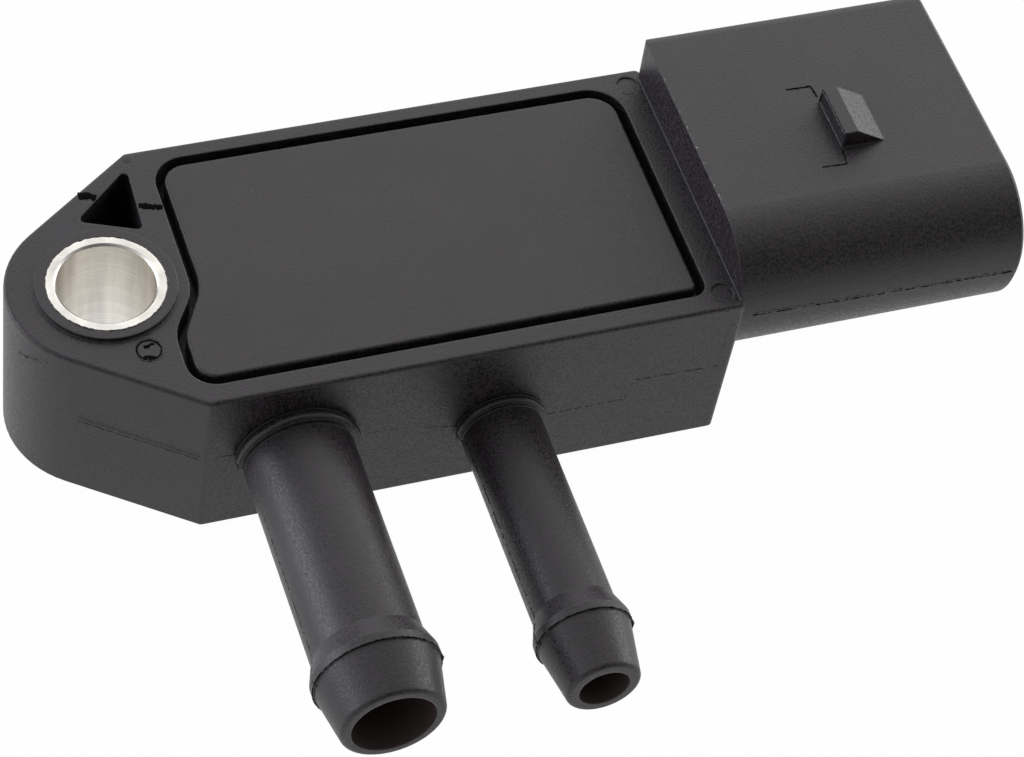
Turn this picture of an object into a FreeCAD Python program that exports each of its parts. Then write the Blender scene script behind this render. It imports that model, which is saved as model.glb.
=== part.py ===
import FreeCAD, Part
import math
import os
import Sketcher

# Differential pressure sensor for an exhaust particulate filter.
# Millimetres. The origin is on the axis of the bolt bush, at the bottom face of the housing.
# +X runs along the housing to the plug socket, the hose nipples point to -Y, the cover faces +Z.

SIZES = {
    # housing box and its bolt lug
    "body_height": 13.3,
    "body_half_width": 11.1,
    "body_end": 41.4,
    "end_draft": 0.35,
    "lug_radius": 6.7,
    "lug_flank_angle": 35.6,
    "flank_corner_radius": 0.5,
    "body_corner_radius": 0.45,
    "body_edge_radius": 0.25,
    "body_foot_chamfer": 0.2,
    "boss_radius": 4.7,
    "boss_height": 0.3,
    # bolt bush
    "bush_outer_radius": 4.0,
    "bush_bore_radius": 3.3,
    "bush_edge_chamfer": 0.15,
    "bush_clearance": 0.02,
    # triangular core pocket beside the lug
    "pocket_peak_x": 3.85,
    "pocket_peak_y": 9.75,
    "pocket_foot_x": 3.6,
    "pocket_depth": 11.0,
    "pocket_upper_slope": 41.5,
    "pocket_lower_slope": 22.0,
    "pocket_web": 0.5,
    "pocket_corner_radius": 0.35,
    # groove and seat of the cover
    "groove_boss_margin": 0.7,
    "groove_flank_margin": 0.655,
    "groove_wave_top": -1.68,
    "groove_wave_foot": -4.82,
    "groove_right_margin": 2.25,
    "groove_back_margin": 1.18,
    "groove_front_margin": 1.5,
    "groove_round_back_left": 2.2,
    "groove_round_back_right": 2.6,
    "groove_round_front_right": 1.1,
    "groove_round_front_left": 2.0,
    "groove_round_wave": 4.0,
    "groove_depth": 2.7,
    "least_round": 0.25,
    "rib_inset": 1.95,
    "rib_wall": 1.0,
    "rib_corner_radius": 1.6,
    # chamber under the cover
    "chamber_depth": 4.5,
    # cover plate
    "cover_gap": 0.64,
    "wave_top_rise": 0.3,
    "wave_foot_drop": 0.27,
    "cover_thickness": 1.5,
    "cover_edge_radius": 0.2,
    "tongue_inset": 0.15,
    "tongue_wall": 0.75,
    "tongue_clearance": 0.4,
    # sealing bead
    "bead_grip": 0.25,
    "bead_clearance": 0.02,
    # hose nipple before the filter
    "large_nipple_x": 10.24,
    "large_nipple_z": 6.74,
    "large_nipple_length": 22.2,
    "large_shank_radius": 3.79,
    "large_collar_radius": 4.2,
    "large_collar_length": 0.9,
    "large_barb_radius": 4.33,
    "large_barb_start": 16.5,
    "large_tip_radius": 3.5,
    "large_bore_radius": 2.83,
    "large_duct_radius": 1.2,
    # hose nipple after the filter
    "small_nipple_x": 24.64,
    "small_nipple_z": 5.07,
    "small_nipple_length": 21.9,
    "small_shank_radius": 2.83,
    "small_collar_radius": 3.15,
    "small_collar_length": 0.65,
    "small_barb_radius": 3.35,
    "small_barb_start": 15.8,
    "small_tip_radius": 2.52,
    "small_bore_radius": 1.73,
    "small_duct_radius": 1.0,
    # details that both nipples share
    "nipple_root": 1.0,
    "barb_ramp": 1.5,
    "barb_land": 0.6,
    "barb_step": 0.14,
    "tip_edge_radius": 0.35,
    "bore_end_wall": 0.9,
    "duct_y": -2.0,
    "duct_end_wall": 0.9,
    # plug socket
    "socket_length": 21.05,
    "socket_half_width": 10.95,
    "socket_rise": 3.7,
    "socket_height": 12.3,
    "socket_round": 5.25,
    "socket_parting_flat": 0.25,
    "socket_back_round": 1.0,
    "socket_rear_round": 0.9,
    "socket_mouth_chamfer": 0.25,
    "socket_wall": 1.6,
    "socket_depth": 15.0,
    # latch nub on the socket
    "nub_place": 10.05,
    "nub_width": 4.3,
    "nub_centre": 0.05,
    "nub_height": 1.4,
    "nub_flat": 0.95,
    "nub_length": 3.15,
    "nub_root": 0.5,
    # marks of ejector pins
    "ejector_radius": 0.8,
    "ejector_depth": 0.1,
    "ejector_end_margin": 1.35,
    "ejector_side_margin": 1.4,
    # terminals
    "terminal_pitch": 5.0,
    "terminal_width": 1.5,
    "terminal_thickness": 0.63,
    "terminal_recess": 5.0,
    "terminal_bend_start": 1.0,
    "terminal_bend_run": 2.2,
    "terminal_pad_length": 2.1,
    # circuit plate
    "plate_gap": 0.5,
    "plate_length": 20.0,
    "plate_width": 12.0,
    "plate_thickness": 0.8,
    "glue_thickness": 0.15,
    "glue_margin": 0.6,
    "plate_hole_radius": 0.6,
    # pressure die on its base
    "die_side": 2.6,
    "die_thickness": 0.4,
    "membrane_thickness": 0.05,
    "membrane_side": 0.9,
    "etch_side": 1.4,
    "pedestal_height": 0.8,
    "pedestal_hole_radius": 0.35,
    # signal chip and capacitors
    "chip_length": 3.2,
    "chip_width": 2.8,
    "chip_thickness": 0.4,
    "chip_gap": 1.4,
    "capacitor_length": 1.6,
    "capacitor_width": 0.8,
    "capacitor_height": 0.8,
    "capacitor_pitch": 1.7,
    "capacitor_edge": 0.08,
    # gel and its frame
    "frame_margin": 1.1,
    "frame_wall": 0.6,
    "frame_height": 1.6,
    "frame_round": 0.5,
    "gel_height": 1.45,
    # bond wires and ribbons
    "wire_pitch": 0.5,
    "wire_thickness": 0.05,
    "wire_foot": 0.25,
    "wire_loop": 0.12,
    "wire_inset": 0.15,
    "ribbon_width": 0.5,
    "ribbon_thickness": 0.1,
    "ribbon_foot": 0.6,
    "ribbon_loop": 0.9,
    "ribbon_inset": 0.4,
    # how far a cut runs out past the face that it opens
    "cut_overshoot": 1.0,
}


class Size:
    """A length or an angle: its number, and the sheet formula that gives it."""

    def __init__(self, number, formula):
        self.number = number
        self.formula = formula

    def join(self, other, sign, number):
        text = other.formula if isinstance(other, Size) else repr(float(other))
        return Size(number, "(" + self.formula + sign + text + ")")

    def __add__(self, other):
        return self.join(other, " + ", self.number + plain(other))

    def __sub__(self, other):
        return self.join(other, " - ", self.number - plain(other))

    def __mul__(self, other):
        return self.join(other, " * ", self.number * plain(other))

    def __truediv__(self, other):
        return self.join(other, " / ", self.number / plain(other))

    def __neg__(self):
        return Size(-self.number, "(0 - " + self.formula + ")")


def plain(value):
    return value.number if isinstance(value, Size) else value


def size(name):
    return Size(SIZES[name], "Sizes." + name)


def sine(angle):
    return Size(math.sin(math.radians(angle.number)), "sin(" + angle.formula + " * 1 deg)")


def cosine(angle):
    return Size(math.cos(math.radians(angle.number)), "cos(" + angle.formula + " * 1 deg)")


def tangent(angle):
    return Size(math.tan(math.radians(angle.number)), "tan(" + angle.formula + " * 1 deg)")


def larger(first, second):
    formula = "max(" + first.formula + "; " + second.formula + ")"
    return Size(max(first.number, second.number), formula)


ZERO = Size(0.0, "0")
WIRES = 4
CAPACITORS = 4

doc = FreeCAD.newDocument("differential_pressure_sensor")
sheet = doc.addObject("Spreadsheet::Sheet", "Sizes")
for row, (alias, number) in enumerate(SIZES.items(), start=1):
    sheet.set("A%d" % row, alias.replace("_", " "))
    sheet.set("B%d" % row, str(number))
    sheet.setAlias("B%d" % row, alias)
doc.recompute()


# Sketches and features

def bind(item, path, value):
    """Tie a property to its formula in the sheet."""
    item.setExpression(path, value.formula)


def new_body(name):
    body = doc.addObject("PartDesign::Body", name)
    body.Label = name
    return body


def sketch_on(body, role, name, offset=ZERO, shift=(ZERO, ZERO)):
    """A sketch on an origin plane of its own body, moved along the plane's normal and in the plane."""
    plane = [item for item in body.Origin.OriginFeatures if item.Role == role][0]
    sketch = body.newObject("Sketcher::SketchObject", name)
    sketch.AttachmentSupport = [(plane, "")]
    sketch.MapMode = "FlatFace"
    bind(sketch, "AttachmentOffset.Base.x", shift[0])
    bind(sketch, "AttachmentOffset.Base.y", shift[1])
    bind(sketch, "AttachmentOffset.Base.z", offset)
    return sketch


class Drawing:
    """Geometry and constraints of one sketch, added to it together so that it is solved once."""

    def __init__(self, sketch):
        self.sketch = sketch
        self.rules = []
        self.driving = []

    def add(self, shape, construction=False):
        return self.sketch.addGeometry(shape, construction)

    def rule(self, kind, *items):
        self.rules.append(Sketcher.Constraint(kind, *items))

    def driven(self, kind, *items):
        """A dimension whose value, the last item, follows the sheet."""
        self.driving.append((len(self.rules), items[-1]))
        self.rules.append(Sketcher.Constraint(kind, *items[:-1], items[-1].number))

    def place(self, item, end, x, y):
        self.driven("DistanceX", -1, 1, item, end, x)
        self.driven("DistanceY", -1, 1, item, end, y)

    def finish(self):
        first = len(self.sketch.Constraints)
        self.sketch.addConstraint(self.rules)
        for index, value in self.driving:
            bind(self.sketch, "Constraints[%d]" % (first + index), value)


def rounding(spots, i, radius):
    """The arc of a given radius that is tangent to both sides of corner i, and its two ends."""
    back = (spots[i - 1] - spots[i]).normalize()
    onward = (spots[(i + 1) % len(spots)] - spots[i]).normalize()
    half = back.getAngle(onward) / 2
    reach = radius / math.tan(half)
    centre = spots[i] + (back + onward).normalize() * (radius / math.sin(half))
    middle = centre + (spots[i] - centre).normalize() * radius
    first, last = spots[i] + back * reach, spots[i] + onward * reach
    turns_left = (first - centre).cross(last - centre).z > 0
    arc = Part.Arc(first, middle, last) if turns_left else Part.Arc(last, middle, first)
    return arc, first, last, turns_left


def rounded_outline(sketch, corners):
    """A closed outline through corners (x, y, radius or None), each radius a tangent arc."""
    drawing = Drawing(sketch)
    spots = [FreeCAD.Vector(x.number, y.number, 0) for x, y, radius in corners]
    turns = [(None, spot, spot, True) for spot in spots]
    for i, (x, y, radius) in enumerate(corners):
        if radius is not None:
            turns[i] = rounding(spots, i, radius.number)
    lines = []
    for i, (arc, first, last, turns_left) in enumerate(turns):
        following = turns[(i + 1) % len(turns)][1]
        lines.append(drawing.add(Part.LineSegment(last, following)))
    for i, (arc, first, last, turns_left) in enumerate(turns):
        before, after = lines[i - 1], lines[i]
        x, y, radius = corners[i]
        if arc is None:
            drawing.rule("Coincident", before, 2, after, 1)
            drawing.place(after, 1, x, y)
            continue
        point = drawing.add(Part.Point(spots[i]), True)
        drawing.place(point, 1, x, y)
        drawing.rule("PointOnObject", point, 1, before)
        drawing.rule("PointOnObject", point, 1, after)
        bow = drawing.add(arc)
        drawing.rule("Tangent", before, 2, bow, 1 if turns_left else 2)
        drawing.rule("Tangent", after, 1, bow, 2 if turns_left else 1)
        drawing.driven("Radius", bow, radius)
    drawing.finish()


def circle(sketch, x, y, radius):
    drawing = Drawing(sketch)
    centre = FreeCAD.Vector(x.number, y.number, 0)
    index = drawing.add(Part.Circle(centre, FreeCAD.Vector(0, 0, 1), radius.number))
    drawing.place(index, 3, x, y)
    drawing.driven("Radius", index, radius)
    drawing.finish()


def rectangle(x_low, y_low, x_high, y_high, radius=None):
    return [(x_low, y_low, radius), (x_high, y_low, radius),
            (x_high, y_high, radius), (x_low, y_high, radius)]


def pad(body, sketch, name, length, downward=False):
    feature = body.newObject("PartDesign::Pad", name)
    feature.Profile = sketch
    bind(feature, "Length", length)
    feature.Reversed = downward
    doc.recompute()
    return feature


def pocket(body, sketch, name, length, upward=False):
    """A pocket goes against the sketch's normal, or along it when upward."""
    volume = body.Shape.Volume
    feature = body.newObject("PartDesign::Pocket", name)
    feature.Profile = sketch
    bind(feature, "Length", length)
    feature.Reversed = upward
    doc.recompute()
    if not body.Shape.Volume < volume:
        raise RuntimeError(name + " removes nothing")
    return feature


def revolve(body, sketch, name, kind="PartDesign::Revolution"):
    """A full turn round the sketch's own vertical axis."""
    feature = body.newObject(kind, name)
    feature.Profile = sketch
    feature.ReferenceAxis = (sketch, ["V_Axis"])
    feature.Angle = 360
    doc.recompute()
    return feature


def edges_where(shape, test):
    """Names of the edges whose every vertex passes the test."""
    return ["Edge%d" % (number + 1) for number, edge in enumerate(shape.Edges)
            if all(test(vertex.Point) for vertex in edge.Vertexes)]


def dress(body, kind, name, base, edges, measure):
    """A fillet or a chamfer on chosen edges of a feature."""
    feature = body.newObject(kind, name)
    feature.Base = (base, edges)
    bind(feature, "Radius" if kind == "PartDesign::Fillet" else "Size", measure)
    doc.recompute()
    return feature


def near(number, target, tolerance=1e-4):
    return abs(number - target) < tolerance


# Places that several pieces share

lug_tip = -(size("lug_radius") / sine(size("lug_flank_angle")))
flank_start = lug_tip + size("body_half_width") / tangent(size("lug_flank_angle"))
socket_start = size("body_end") - size("end_draft")
socket_mouth = socket_start + size("socket_length")
socket_floor = socket_mouth - size("socket_depth")
socket_top = size("body_height") + size("socket_rise")
socket_bottom = socket_top - size("socket_height")
socket_middle = socket_top - size("socket_height") / 2
cover_seat = size("body_height") - size("cover_thickness")
tongue_depth = size("groove_depth") - size("cover_thickness") - size("tongue_clearance")
groove_floor = size("body_height") - size("groove_depth")
groove_left = size("boss_radius") + size("groove_boss_margin")
groove_foot = flank_start - size("groove_flank_margin")
groove_right = size("body_end") - size("groove_right_margin")
groove_back = size("body_half_width") - size("groove_back_margin")
groove_front = size("groove_front_margin") - size("body_half_width")
rib_left = groove_left + size("rib_inset")
rib_right = groove_right - size("rib_inset")
rib_back = groove_back - size("rib_inset")
rib_front = groove_front + size("rib_inset")
chamber_left = rib_left + size("rib_wall")
chamber_right = rib_right - size("rib_wall")
chamber_back = rib_back - size("rib_wall")
chamber_front = rib_front + size("rib_wall")
terminal_foot = chamber_right - size("terminal_pad_length")
plate_right = terminal_foot - size("plate_gap")
plate_left = plate_right - size("plate_length")
chamber_floor = size("body_height") - size("chamber_depth")
plate_bottom = chamber_floor + size("glue_thickness")
plate_top = plate_bottom + size("plate_thickness")
die_x = size("small_nipple_x")
die_y = size("duct_y")
die_bottom = plate_top + size("pedestal_height")
die_top = die_bottom + size("die_thickness")
chip_left = die_x + size("die_side") / 2 + size("chip_gap")
chip_top = plate_top + size("chip_thickness")


def groove_outline(gap):
    """The groove's plan outline, moved inwards by a gap all round."""
    least = size("least_round")
    wave_top = size("groove_wave_top") + gap / size("cover_gap") * size("wave_top_rise")
    wave_foot = size("groove_wave_foot") - gap / size("cover_gap") * size("wave_foot_drop")
    left, foot, front = groove_left + gap, groove_foot + gap, groove_front + gap
    right, back = groove_right - gap, groove_back - gap
    return [
        (left, back, larger(size("groove_round_back_left") - gap, least)),
        (left, wave_top, size("groove_round_wave") + gap),
        (foot, wave_foot, larger(size("groove_round_wave") - gap, least)),
        (foot, front, larger(size("groove_round_front_left") - gap, least)),
        (right, front, larger(size("groove_round_front_right") - gap, least)),
        (right, back, larger(size("groove_round_back_right") - gap, least)),
    ]


def socket_section(gap):
    """The keyed end view of the plug socket, in Y and Z: one side round, the other square."""
    lower_round = size("socket_height") - size("socket_round") - size("socket_parting_flat")
    side, top = size("socket_half_width") - gap, socket_top - gap
    bottom = socket_bottom + gap
    square = larger(size("socket_back_round") - gap, size("least_round"))
    return [
        (-side, bottom, lower_round - gap),
        (side, bottom, square),
        (side, top, square),
        (-side, top, size("socket_round") - gap),
    ]


def terminal_outline():
    """Side view of one terminal, in X and Z: flat in the chamber, joggled up in the wall."""
    low, thick = chamber_floor, size("terminal_thickness")
    high = socket_middle - thick / 2
    bend = socket_start + size("terminal_bend_start")
    risen = bend + size("terminal_bend_run")
    tip = socket_mouth - size("terminal_recess")
    slant = thick / 2
    return [
        (terminal_foot, low, None), (bend + slant, low, None), (risen + slant, high, None),
        (tip, high, None), (tip, high + thick, None), (risen - slant, high + thick, None),
        (bend - slant, low + thick, None), (terminal_foot, low + thick, None),
    ]


# The housing, one moulding

def add_box_and_lug(body):
    half, end = size("body_half_width"), size("body_end")
    flank = size("flank_corner_radius")
    sketch = sketch_on(body, "XY_Plane", "body_outline")
    rounded_outline(sketch, [
        (lug_tip, ZERO, size("lug_radius")),
        (flank_start, -half, flank),
        (end, -half, None),
        (end, half, None),
        (flank_start, half, flank),
    ])
    pad(body, sketch, "body_pad", size("body_height"))
    wedge = sketch_on(body, "XZ_Plane", "end_draft_outline", -half * 2)
    rounded_outline(wedge, [
        (end - size("end_draft"), ZERO, None),
        (end + size("cut_overshoot"), ZERO, None),
        (end + size("cut_overshoot"), size("body_height"), None),
        (end, size("body_height"), None),
    ])
    cut = pocket(body, wedge, "end_draft", half * 4, upward=True)
    top, middle = SIZES["body_height"], SIZES["body_end"] / 2
    uprights = [name for name in edges_where(cut.Shape, lambda p: p.x > middle)
                if not near(cut.Shape.getElement(name).Length, 2 * SIZES["body_half_width"])]
    corners = dress(body, "PartDesign::Fillet", "body_corners", cut, uprights,
                    size("body_corner_radius"))
    foot = dress(body, "PartDesign::Chamfer", "body_foot", corners,
                 edges_where(corners.Shape, lambda p: near(p.z, 0)), size("body_foot_chamfer"))
    dress(body, "PartDesign::Fillet", "body_edges", foot,
          edges_where(foot.Shape, lambda p: near(p.z, top)), size("body_edge_radius"))


def add_socket(body):
    """The socket's block: its section, a rounded rear corner and a broken mouth edge."""
    block = new_body("socket_block")
    sketch = sketch_on(block, "YZ_Plane", "socket_outline", socket_start)
    rounded_outline(sketch, socket_section(ZERO))
    pad(block, sketch, "socket_pad", size("socket_length"))
    side, out = size("socket_half_width"), size("cut_overshoot")
    reach = size("socket_rear_round") + out
    corner = sketch_on(block, "XY_Plane", "socket_corner_outline", socket_top)
    rounded_outline(corner, [
        (socket_start - out, side + out, None),
        (socket_start - out, side - reach, None),
        (socket_start, side - reach, None),
        (socket_start, side, size("socket_rear_round")),
        (socket_start + reach, side, None),
        (socket_start + reach, side + out, None),
    ])
    cut = pocket(block, corner, "socket_corner", size("socket_height"))
    mouth = socket_mouth.number
    rim = edges_where(cut.Shape, lambda p: near(p.x, mouth))
    dress(block, "PartDesign::Chamfer", "socket_mouth_edge", cut, rim,
          size("socket_mouth_chamfer"))
    joined = body.newObject("PartDesign::Boolean", "socket_joined")
    joined.setObjects([block])
    joined.Type = "Fuse"
    doc.recompute()


def add_latch_nub(body):
    start = socket_start + size("nub_place")
    base, peak = socket_top, socket_top + size("nub_height")
    near_side = -(size("nub_centre") + size("nub_width") / 2)
    sketch = sketch_on(body, "XZ_Plane", "nub_outline", near_side)
    rounded_outline(sketch, [
        (start, base - size("nub_root"), None),
        (start + size("nub_length"), base - size("nub_root"), None),
        (start + size("nub_length"), base, None),
        (start + size("nub_flat"), peak, None),
        (start, peak, None),
    ])
    pad(body, sketch, "nub_pad", size("nub_width"))


def add_nipple(body, prefix):
    """Shank and barb, turned round an axis parallel to Y, and a half collar over the root."""
    place = (size(prefix + "_nipple_x"), -size("body_half_width"))
    sketch = sketch_on(body, "XY_Plane", prefix + "_nipple_profile",
                       size(prefix + "_nipple_z"), place)
    root, shank = size("nipple_root"), size(prefix + "_shank_radius")
    barb, tip = size(prefix + "_barb_radius"), size(prefix + "_tip_radius")
    length, ramp = size(prefix + "_nipple_length"), size(prefix + "_barb_start")
    peak = ramp + size("barb_ramp")
    nose = peak + size("barb_land")
    rounded_outline(sketch, [
        (ZERO, root, None),
        (shank, root, None),
        (shank, -ramp, None),
        (barb, -peak, None),
        (barb, -nose, None),
        (barb - size("barb_step"), -nose, None),
        (tip, -length, None),
        (ZERO, -length, None),
    ])
    turned = revolve(body, sketch, prefix + "_nipple")
    end = -(SIZES["body_half_width"] + SIZES[prefix + "_nipple_length"])
    rim = edges_where(turned.Shape, lambda p: near(p.y, end))
    dress(body, "PartDesign::Fillet", prefix + "_tip_edge", turned, rim, size("tip_edge_radius"))
    collar = size(prefix + "_collar_radius")
    band = sketch_on(body, "XY_Plane", prefix + "_collar_profile",
                     size(prefix + "_nipple_z"), place)
    rounded_outline(band, rectangle(ZERO, -size(prefix + "_collar_length"), collar, root))
    half = revolve(body, band, prefix + "_collar")
    half.Angle = 180
    half.Reversed = True
    doc.recompute()


def add_duct(body, prefix):
    """The stepped hole of a nipple, and the upright hole that leads it into the chamber."""
    place = (size(prefix + "_nipple_x"), -size("body_half_width"))
    axis = size(prefix + "_nipple_z")
    sketch = sketch_on(body, "XY_Plane", prefix + "_bore_profile", axis, place)
    length, bore = size(prefix + "_nipple_length"), size(prefix + "_bore_radius")
    duct = size(prefix + "_duct_radius")
    inner = size("body_half_width") + size("duct_y") + duct
    rounded_outline(sketch, [
        (ZERO, -(length + size("cut_overshoot")), None),
        (bore, -(length + size("cut_overshoot")), None),
        (bore, -size("bore_end_wall"), None),
        (duct, -size("bore_end_wall") + (bore - duct) / 2, None),
        (duct, inner, None),
        (ZERO, inner, None),
    ])
    volume = body.Shape.Volume
    revolve(body, sketch, prefix + "_bore", "PartDesign::Groove")
    if not body.Shape.Volume < volume:
        raise RuntimeError(prefix + " bore removes nothing")
    upright = sketch_on(body, "XY_Plane", prefix + "_upright_outline", chamber_floor)
    circle(upright, size(prefix + "_nipple_x"), size("duct_y"), duct)
    pocket(body, upright, prefix + "_upright", chamber_floor - axis)


def add_chamber(body):
    """The groove's room, the rib left standing inside it, and the chamber inside the rib."""
    top = size("body_height")
    sketch = sketch_on(body, "XY_Plane", "groove_sketch", top)
    rounded_outline(sketch, groove_outline(ZERO))
    pocket(body, sketch, "groove_pocket", size("groove_depth"))
    rib = sketch_on(body, "XY_Plane", "rib_sketch", groove_floor)
    outer = rectangle(rib_left, rib_front, rib_right, rib_back, size("rib_corner_radius"))
    inner_round = larger(size("rib_corner_radius") - size("rib_wall"), size("least_round"))
    inner = rectangle(chamber_left, chamber_front, chamber_right, chamber_back, inner_round)
    rounded_outline(rib, outer)
    rounded_outline(rib, inner)
    pad(body, rib, "rib_pad", cover_seat - groove_floor)
    room = sketch_on(body, "XY_Plane", "chamber_sketch", groove_floor)
    rounded_outline(room, inner)
    pocket(body, room, "chamber_pocket", groove_floor - chamber_floor)


def add_socket_hollow(body):
    sketch = sketch_on(body, "YZ_Plane", "socket_hollow_outline", socket_floor)
    rounded_outline(sketch, socket_section(size("socket_wall")))
    pocket(body, sketch, "socket_hollow", size("socket_depth") + size("cut_overshoot"), upward=True)


def add_terminal_slots(body):
    """Three slots with the terminals' own outline, filled by the terminals that are moulded in."""
    for name, y in terminal_places():
        edge = -(y - size("terminal_width") / 2)
        sketch = sketch_on(body, "XZ_Plane", "slot_" + name, edge)
        rounded_outline(sketch, terminal_outline())
        pocket(body, sketch, "slot_pocket_" + name, size("terminal_width"))


def add_lug_details(body):
    top = size("body_height")
    boss = sketch_on(body, "XY_Plane", "boss_outline", top)
    circle(boss, ZERO, ZERO, size("boss_radius"))
    pad(body, boss, "boss_pad", size("boss_height"))
    hole = sketch_on(body, "XY_Plane", "bush_hole_outline", top + size("boss_height"))
    circle(hole, ZERO, ZERO, size("bush_outer_radius") + size("bush_clearance"))
    pocket(body, hole, "bush_hole", top + size("boss_height"))


def add_core_pocket(body):
    """A three-cornered pocket between lug flank and groove; its lower side keeps off the boss."""
    peak_x, peak_y, foot = size("pocket_peak_x"), size("pocket_peak_y"), size("pocket_foot_x")
    steep, gentle = tangent(size("pocket_upper_slope")), tangent(size("pocket_lower_slope"))
    keep_off = size("boss_radius") + size("pocket_web")
    crossing = keep_off / cosine(size("pocket_lower_slope"))
    left = (crossing - peak_y + peak_x * steep) / (steep + gentle)
    radius = size("pocket_corner_radius")
    sketch = sketch_on(body, "XY_Plane", "core_pocket_outline", size("body_height"))
    rounded_outline(sketch, [
        (peak_x, peak_y, radius),
        (left, crossing - left * gentle, radius),
        (foot, crossing - foot * gentle, radius),
    ])
    pocket(body, sketch, "core_pocket", size("pocket_depth"))


def add_ejector_marks(body):
    sketch = sketch_on(body, "XY_Plane", "ejector_outline", size("body_height"))
    x = size("body_end") - size("ejector_end_margin")
    y = size("body_half_width") - size("ejector_side_margin")
    circle(sketch, x, y, size("ejector_radius"))
    circle(sketch, x, -y, size("ejector_radius"))
    pocket(body, sketch, "ejector_marks", size("ejector_depth"))


def terminal_places():
    pitch = size("terminal_pitch")
    return [("supply", -pitch), ("ground", ZERO), ("signal", pitch)]


def make_housing():
    body = new_body("housing")
    add_box_and_lug(body)
    add_core_pocket(body)
    add_socket(body)
    add_latch_nub(body)
    add_nipple(body, "large")
    add_nipple(body, "small")
    add_chamber(body)
    add_duct(body, "large")
    add_duct(body, "small")
    add_socket_hollow(body)
    add_terminal_slots(body)
    add_lug_details(body)
    add_ejector_marks(body)
    return body


# Bolt bush, cover and sealing bead

def make_bolt_bush():
    """An aluminium tube that keeps the bolt from crushing the lug."""
    body = new_body("bolt_bush")
    sketch = sketch_on(body, "XZ_Plane", "bush_profile")
    bore, outer = size("bush_bore_radius"), size("bush_outer_radius")
    cut = size("bush_edge_chamfer")
    length = size("body_height") + size("boss_height")
    rounded_outline(sketch, [
        (bore, ZERO, None), (outer, ZERO, None), (outer, length, None),
        (bore + cut, length, None), (bore, length - cut, None),
    ])
    revolve(body, sketch, "bush_turned")
    return body


def make_cover():
    """A plate whose tongue dips into the bead; its top is flush with the housing."""
    body = new_body("cover")
    bind(body, "Placement.Base.z", cover_seat)
    gap, wall = size("cover_gap"), size("tongue_wall")
    plate = sketch_on(body, "XY_Plane", "cover_outline")
    rounded_outline(plate, groove_outline(gap))
    slab = pad(body, plate, "cover_plate", size("cover_thickness"))
    thick = SIZES["cover_thickness"]
    rim = edges_where(slab.Shape, lambda p: near(p.z, thick))
    dress(body, "PartDesign::Fillet", "cover_edge", slab, rim, size("cover_edge_radius"))
    outer = sketch_on(body, "XY_Plane", "tongue_outline")
    rounded_outline(outer, groove_outline(gap + size("tongue_inset")))
    pad(body, outer, "tongue", tongue_depth, downward=True)
    inner = sketch_on(body, "XY_Plane", "tongue_inside", -tongue_depth)
    rounded_outline(inner, groove_outline(gap + size("tongue_inset") + wall))
    pocket(body, inner, "tongue_hollow", tongue_depth, upward=True)
    return body


def make_cover_adhesive():
    """The bead lies in the groove, under the tongue and a little way up its outer side."""
    body = new_body("cover_adhesive")
    bind(body, "Placement.Base.z", groove_floor)
    slack, tongue_bottom = size("bead_clearance"), size("tongue_clearance")
    top = tongue_bottom + size("bead_grip")
    block = sketch_on(body, "XY_Plane", "bead_outline")
    rounded_outline(block, groove_outline(slack))
    pad(body, block, "bead_block", top)
    step = sketch_on(body, "XY_Plane", "bead_step_outline", top)
    rounded_outline(step, groove_outline(size("cover_gap") - slack))
    pocket(body, step, "bead_step", top - tongue_bottom)
    inside = sketch_on(body, "XY_Plane", "bead_inside_outline", tongue_bottom)
    rounded_outline(inside, rectangle(
        rib_left - slack, rib_front - slack, rib_right + slack, rib_back + slack,
        size("rib_corner_radius") + slack))
    pocket(body, inside, "bead_inside", tongue_bottom)
    return body


# Terminals and the circuit

def make_terminal(name, y):
    """A stamped blade: flat foot in the chamber, joggle in the wall, pointed tip in the socket."""
    body = new_body("terminal_" + name)
    bind(body, "Placement.Base.y", y)
    sketch = sketch_on(body, "XZ_Plane", "terminal_side_" + name, -(size("terminal_width") / 2))
    rounded_outline(sketch, terminal_outline())
    blade = pad(body, sketch, "terminal_blade_" + name, size("terminal_width"))
    tip = socket_mouth.number - SIZES["terminal_recess"]
    ends = edges_where(blade.Shape, lambda p: near(p.x, tip))
    dress(body, "PartDesign::Chamfer", "terminal_point_" + name, blade, ends,
          size("terminal_thickness") / 3)
    return body


def make_substrate():
    """The ceramic plate, drilled under the die."""
    body = new_body("sensor_substrate")
    bind(body, "Placement.Base.z", plate_bottom)
    half = size("plate_width") / 2
    sketch = sketch_on(body, "XY_Plane", "plate_outline")
    rounded_outline(sketch, rectangle(plate_left, -half, plate_right, half))
    circle(sketch, die_x, die_y, size("plate_hole_radius"))
    pad(body, sketch, "plate_pad", size("plate_thickness"))
    return body


def make_substrate_adhesive():
    """The bonding pad under the plate, open over the duct of the small nipple."""
    body = new_body("substrate_adhesive")
    bind(body, "Placement.Base.z", chamber_floor)
    half, margin = size("plate_width") / 2 - size("glue_margin"), size("glue_margin")
    sketch = sketch_on(body, "XY_Plane", "glue_outline")
    rounded_outline(sketch, rectangle(plate_left + margin, -half, plate_right - margin, half))
    circle(sketch, die_x, die_y, size("small_duct_radius"))
    pad(body, sketch, "glue_pad", size("glue_thickness"))
    return body


def make_pedestal():
    """The glass base that carries the die and leads the second pressure to its back."""
    body = new_body("glass_pedestal")
    bind(body, "Placement.Base.x", die_x)
    bind(body, "Placement.Base.y", die_y)
    bind(body, "Placement.Base.z", plate_top)
    half = size("die_side") / 2
    sketch = sketch_on(body, "XY_Plane", "pedestal_outline")
    rounded_outline(sketch, rectangle(-half, -half, half, half))
    circle(sketch, ZERO, ZERO, size("pedestal_hole_radius"))
    pad(body, sketch, "pedestal_pad", size("pedestal_height"))
    return body


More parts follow.
